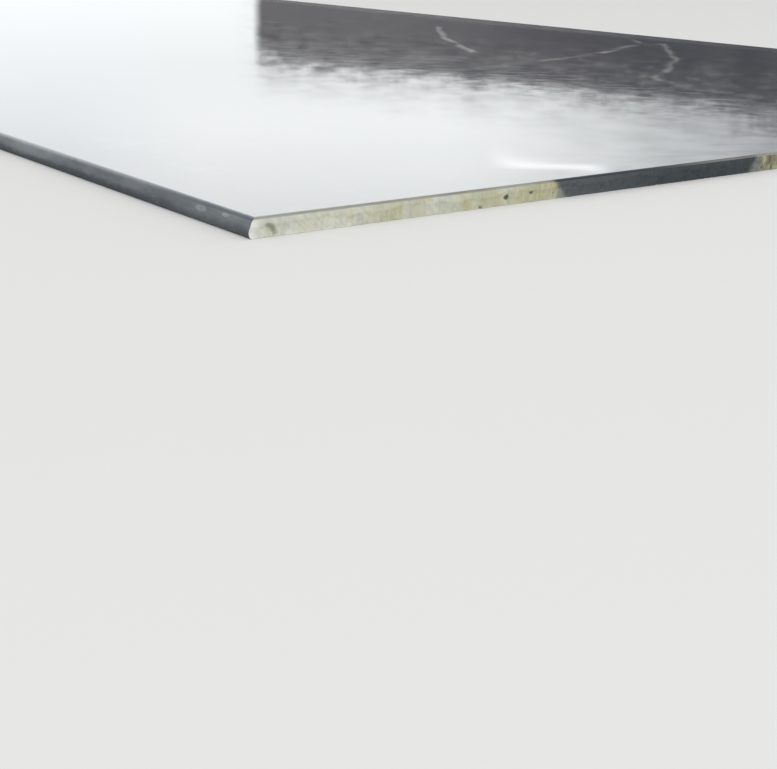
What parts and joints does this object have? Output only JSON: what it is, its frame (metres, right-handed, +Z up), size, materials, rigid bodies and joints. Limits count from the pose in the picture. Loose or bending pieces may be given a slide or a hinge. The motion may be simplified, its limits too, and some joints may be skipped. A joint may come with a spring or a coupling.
{
  "type": "steel plate",
  "caption": "Flat rectangular hot-rolled steel plate with rounded rolled long edges and sheared short ends, lying flat.",
  "frame": {"origin": "centre of the underside, on the surface that the plate lies on", "axes": "+X across the width, +Y along the length and the rolling direction, +Z up through the thickness"},
  "size_m": [1.5, 6, 0.016],
  "materials": {
    "rolled_steel": "dark purple-grey mill scale with a wet, oily sheen; sheared ends pale grey with light rust and small pits"
  },
  "bodies": {
    "root": {"steel_plate": "rolled_steel"}
  },
  "joints": []
}
